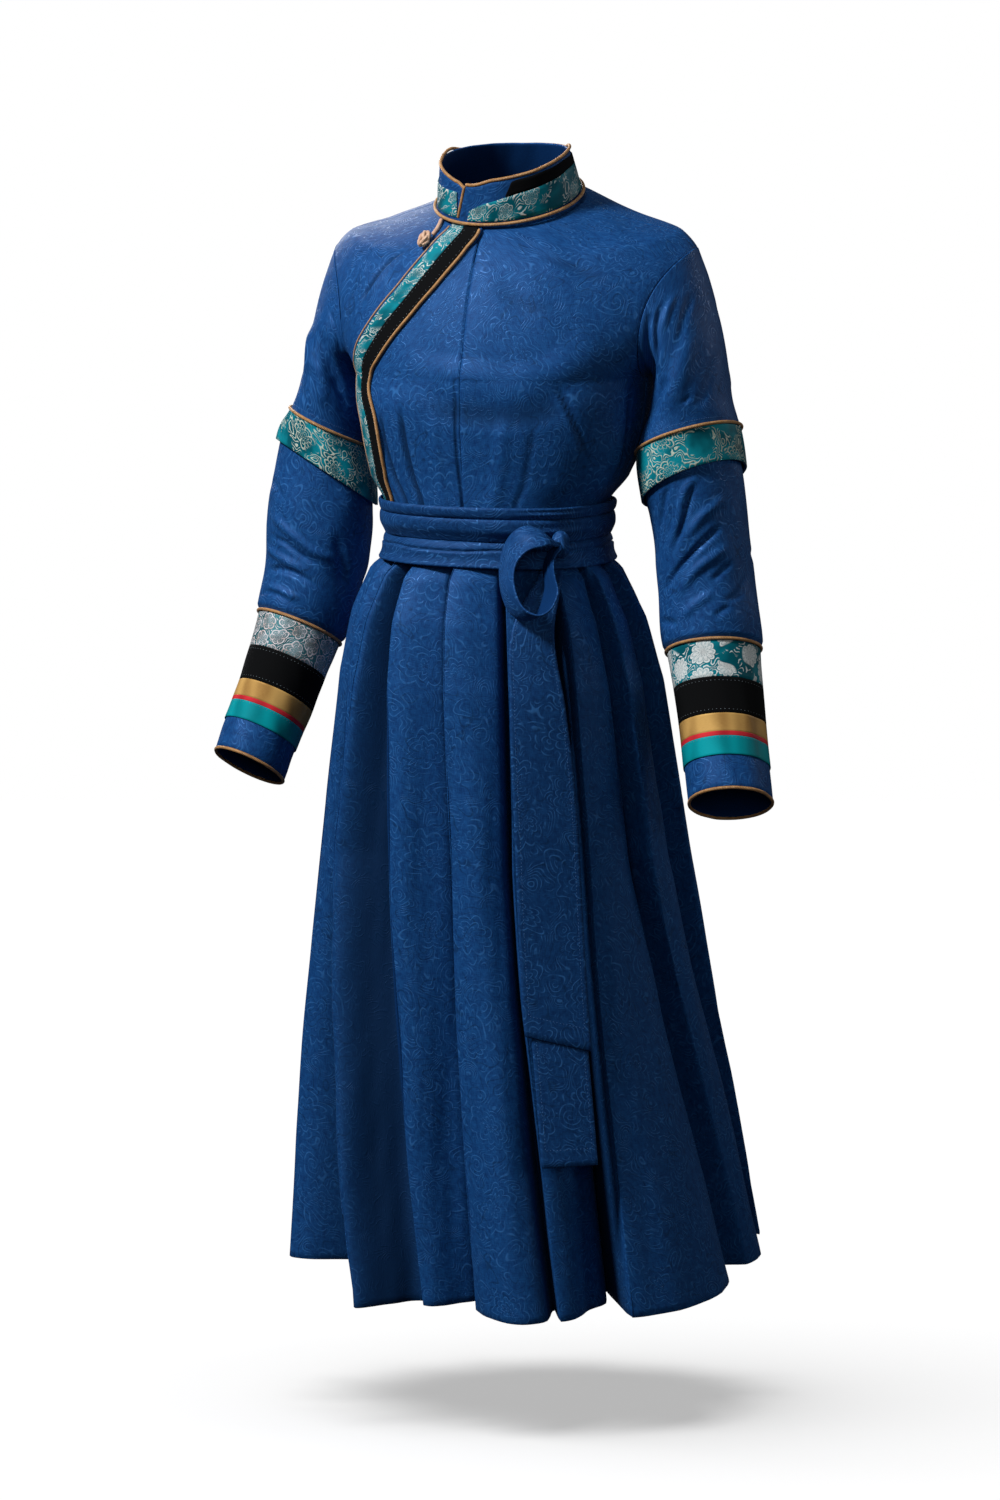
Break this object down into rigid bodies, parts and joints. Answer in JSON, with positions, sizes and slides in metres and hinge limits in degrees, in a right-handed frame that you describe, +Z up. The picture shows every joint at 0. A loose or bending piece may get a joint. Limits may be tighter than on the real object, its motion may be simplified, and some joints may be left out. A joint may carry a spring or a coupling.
{
  "type": "belted deel robe",
  "caption": "Long wrap-front robe with stand collar, curved side closure, layered long sleeves with banded cuffs, pleated skirt and knotted cloth sash",
  "frame": {"origin": "centre of the neck ring where the collar meets the bodice, at the top of the wearer's shoulders, which hold the robe up", "axes": "+Z up, -Y towards the wearer's front, +X towards the wearer's left"},
  "size_m": [0.6238, 0.5164, 1.1827],
  "materials": {
    "blue_jacquard": "tone-on-tone satin jacquard, royal blue on navy",
    "sash_jacquard": "the same jacquard cut as a sash, darker",
    "teal_brocade": "teal brocade with silver-white flowers",
    "black_velvet": "matt black ribbon",
    "gold_satin": "gold satin",
    "red_satin": "red satin",
    "teal_satin": "plain teal satin",
    "gold_piping": "satin piping, gold-orange",
    "pink_piping": "fine satin piping, pinkish gold"
  },
  "bodies": {
    "root": {"bodice_back": "blue_jacquard", "bodice_front_left": "blue_jacquard", "bodice_front_overlap": "blue_jacquard", "bodice_front_under": "blue_jacquard", "closure_brocade": "teal_brocade", "closure_black": "black_velvet", "closure_edge_piping": "pink_piping", "closure_inner_piping": "gold_piping", "collar": "blue_jacquard", "collar_brocade": "teal_brocade", "collar_black": "black_velvet", "collar_base_piping": "gold_piping", "collar_top_piping": "gold_piping", "collar_front_piping": "gold_piping", "sleeve_left_over": "blue_jacquard", "sleeve_left_band": "teal_brocade", "sleeve_left_band_piping": "gold_piping", "sleeve_left_under": "blue_jacquard", "cuff_left_piping": "gold_piping", "cuff_left_brocade": "teal_brocade", "cuff_left_black": "black_velvet", "cuff_left_gold": "gold_satin", "cuff_left_red": "red_satin", "cuff_left_teal": "teal_satin", "cuff_left_end_piping": "gold_piping", "sleeve_right_over": "blue_jacquard", "sleeve_right_band": "teal_brocade", "sleeve_right_band_piping": "gold_piping", "sleeve_right_under": "blue_jacquard", "cuff_right_piping": "gold_piping", "cuff_right_brocade": "teal_brocade", "cuff_right_black": "black_velvet", "cuff_right_gold": "gold_satin", "cuff_right_red": "red_satin", "cuff_right_teal": "teal_satin", "cuff_right_end_piping": "gold_piping", "skirt_front_right": "blue_jacquard", "skirt_front": "blue_jacquard", "skirt_side_left": "blue_jacquard", "skirt_back_left": "blue_jacquard", "skirt_back_right": "blue_jacquard", "skirt_side_right": "blue_jacquard", "sash_top": "sash_jacquard", "sash_middle": "sash_jacquard", "sash_bottom": "sash_jacquard", "sash_knot": "sash_jacquard", "sash_loop": "sash_jacquard", "sash_tail_front": "sash_jacquard", "sash_tail_back": "sash_jacquard", "toggle_cord": "pink_piping", "toggle_knot": "pink_piping"}
  },
  "joints": []
}
